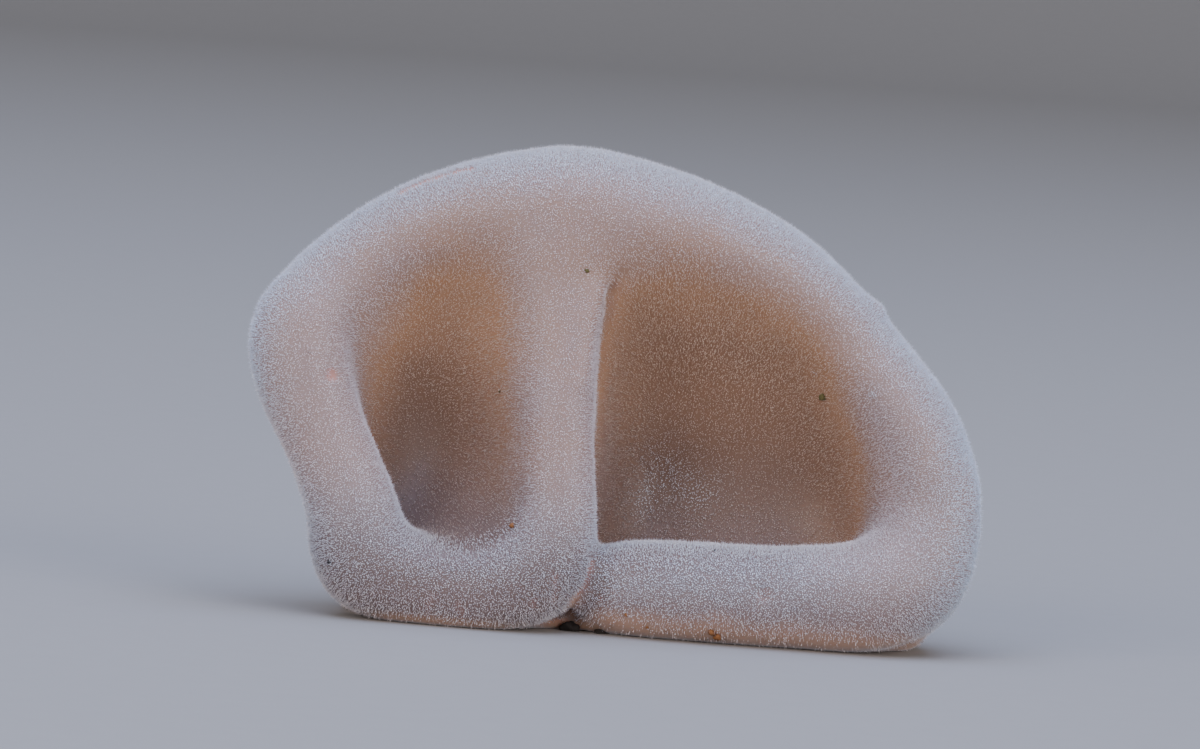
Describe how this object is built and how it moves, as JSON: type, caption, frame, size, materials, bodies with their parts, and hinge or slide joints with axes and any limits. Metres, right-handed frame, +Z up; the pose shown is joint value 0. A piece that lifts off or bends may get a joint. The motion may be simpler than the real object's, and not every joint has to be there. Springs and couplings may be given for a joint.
{
  "type": "wood ear mushroom",
  "caption": "Young ear-shaped jelly fungus with a rolled rim and two hollows, cut flat at its base.",
  "frame": {"origin": "on the flat cut under the ear, near the middle of its width and depth", "axes": "+Z up from the cut base, -Y out of the open side with the two hollows, +X to the right seen from that side"},
  "size_m": [0.0242, 0.0085, 0.0156],
  "materials": {
    "ear_flesh": "velvety down over damp jelly-like flesh"
  },
  "bodies": {
    "root": {"fruiting_body": "ear_flesh"}
  },
  "joints": []
}
